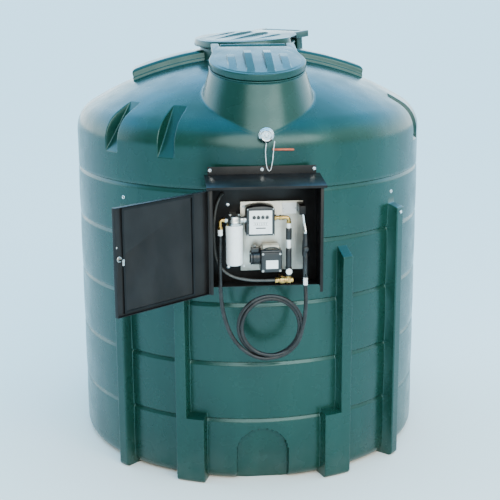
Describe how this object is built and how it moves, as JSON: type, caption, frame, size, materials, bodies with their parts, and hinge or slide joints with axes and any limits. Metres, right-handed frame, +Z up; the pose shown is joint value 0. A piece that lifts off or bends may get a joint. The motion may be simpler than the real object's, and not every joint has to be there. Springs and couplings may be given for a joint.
{
  "type": "storage_tank",
  "caption": "Round green plastic fuel storage tank with domed roof, two hatches, ribbed wall, buttress legs and an open steel dispensing cabinet with pump, meter, hose and nozzle",
  "frame": {"origin": "on the tank's vertical axis, on the ground, in the middle of the floor's underside", "axes": "X across the front from left to right, Y from the front to the back so that the cabinet faces -Y, Z up the tank's axis"},
  "size_m": [2.41, 3.1782, 2.848],
  "materials": {
    "green_polyethylene": "moulded green polyethylene, faintly textured, with a soft sheen",
    "charcoal_steel": "smooth charcoal powder coat",
    "stainless": "dull stainless sheet",
    "black_casting": "black enamel on castings",
    "white_paint": "white gloss paint",
    "brass": "bright brass fittings",
    "zinc": "zinc plated steel and aluminium",
    "hose_rubber": "black rubber hose",
    "orange_plastic": "orange plastic strip"
  },
  "bodies": {
    "tank": {"floor": "green_polyethylene", "wall_front_left": "green_polyethylene", "wall_front_right": "green_polyethylene", "wall_right": "green_polyethylene", "wall_back_right": "green_polyethylene", "wall_back_left": "green_polyethylene", "wall_left": "green_polyethylene", "roof": "green_polyethylene", "roof_beam_left": "green_polyethylene", "roof_beam_right": "green_polyethylene", "turret_neck": "green_polyethylene", "turret_hinge": "green_polyethylene", "hatch_neck": "green_polyethylene", "hatch_hinge": "green_polyethylene", "leg_front_left": "green_polyethylene", "leg_front_right": "green_polyethylene", "leg_back_left": "green_polyethylene", "leg_back_right": "green_polyethylene", "outer_leg_front_left": "green_polyethylene", "outer_leg_front_right": "green_polyethylene", "outer_leg_back_left": "green_polyethylene", "outer_leg_back_right": "green_polyethylene", "fill_pipe": "zinc", "fill_cap": "white_paint", "cap_tether": "white_paint", "marker_strip": "orange_plastic", "cabinet_pad": "green_polyethylene", "cabinet_back": "charcoal_steel", "cabinet_left_side": "charcoal_steel", "cabinet_right_side": "charcoal_steel", "cabinet_floor": "charcoal_steel", "cabinet_canopy": "charcoal_steel", "door_hinge_rod": "charcoal_steel", "equipment_plate": "stainless", "plate_label": "white_paint", "meter_body": "black_casting", "meter_face": "white_paint", "filter_head": "zinc", "filter_canister": "white_paint", "filter_elbow": "brass", "hose_ferrule": "zinc", "meter_outlet_elbow": "brass", "outlet_riser": "black_casting", "manifold": "brass", "valve_knob": "white_paint", "pump_body": "black_casting", "pump_motor": "black_casting", "suction_hose": "hose_rubber", "nozzle_holder": "zinc", "nozzle_body": "black_casting", "nozzle_spout": "zinc", "nozzle_ferrule": "zinc", "hose_drop": "hose_rubber", "hose_coil": "hose_rubber", "hose_rise": "hose_rubber"},
    "hatch_lid": {"hatch_lid": "green_polyethylene"},
    "turret_lid": {"turret_lid": "green_polyethylene"},
    "cabinet_door": {"cabinet_door": "charcoal_steel"},
    "door_lock": {"door_lock": "zinc"}
  },
  "joints": [
    {"name": "hatch_lid_hinge", "type": "hinge", "parent": "tank", "child": "hatch_lid", "pos_m": [0, -0.45276, 2.77282], "axis": [-1, 0, 0], "range_deg": [0, 95]},
    {"name": "turret_lid_hinge", "type": "hinge", "parent": "tank", "child": "turret_lid", "pos_m": [0.29297, 0.29297, 2.82458], "axis": [-0.7071, 0.7071, 0], "range_deg": [0, 95]},
    {"name": "door_hinge", "type": "hinge", "parent": "tank", "child": "cabinet_door", "pos_m": [-0.3625, -1.518, 1.6955], "axis": [0, 0, 1], "range_deg": [-29, 141]},
    {"name": "lock_turn", "type": "hinge", "parent": "cabinet_door", "child": "door_lock", "pos_m": [-0.8692, -1.92832, 1.712], "axis": [-0.6293, 0.7771, 0], "range_deg": [0, 90]}
  ]
}
